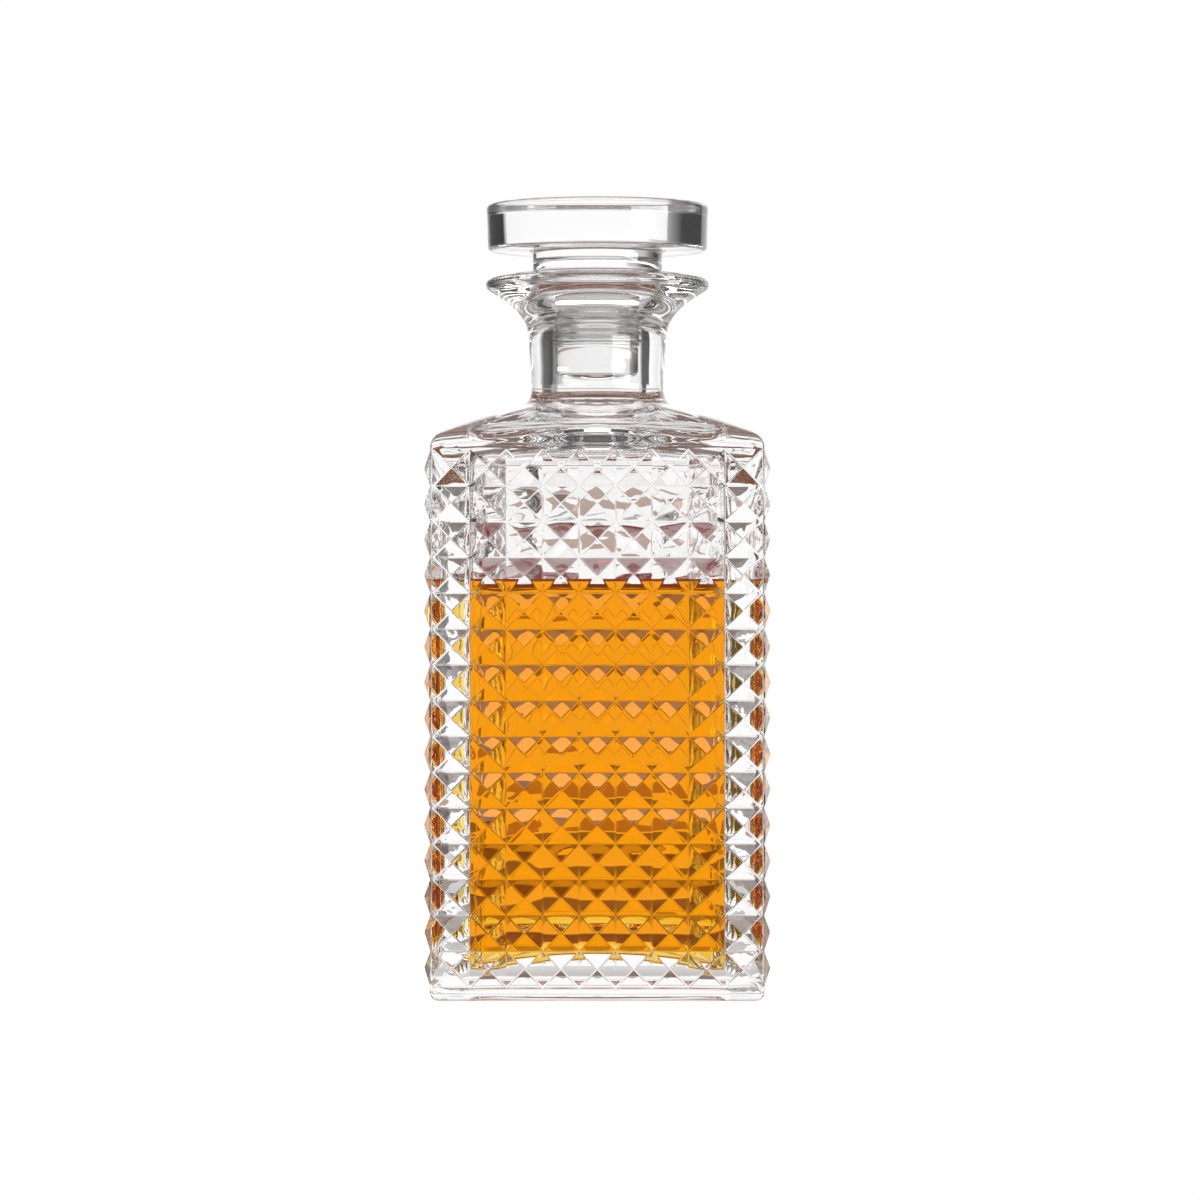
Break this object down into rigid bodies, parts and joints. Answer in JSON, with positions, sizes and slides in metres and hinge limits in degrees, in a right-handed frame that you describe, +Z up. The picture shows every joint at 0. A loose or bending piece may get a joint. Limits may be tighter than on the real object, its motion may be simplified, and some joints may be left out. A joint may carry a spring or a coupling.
{
  "type": "decanter",
  "caption": "Square pressed-glass decanter with pyramid-studded faces, a flared round neck, a disc-headed glass stopper with a ribbed sealing sleeve, part filled with whisky.",
  "frame": {"origin": "centre of the flat underside, on the surface the decanter stands on", "axes": "+Z up along the neck and stopper axis, the front face looks along -Y, +X to the viewer's right"},
  "size_m": [0.103, 0.103, 0.2398],
  "materials": {
    "crystal": "polished clear pressed glass",
    "seal_plastic": "clear, slightly milky",
    "whisky": "clear amber liquid"
  },
  "bodies": {
    "vessel": {"decanter_body": "crystal", "whisky": "whisky"},
    "seal": {"stopper_seal": "seal_plastic"},
    "stopper": {"stopper": "crystal"}
  },
  "joints": [
    {"name": "stopper_lift", "type": "slide", "parent": "vessel", "child": "seal", "axis": [0, 0, 1], "range_m": [0, 0.05]},
    {"name": "stopper_turn", "type": "hinge", "parent": "seal", "child": "stopper", "pos_m": [0, 0, 0.21869], "axis": [0, 0, 1], "continuous": true}
  ]
}
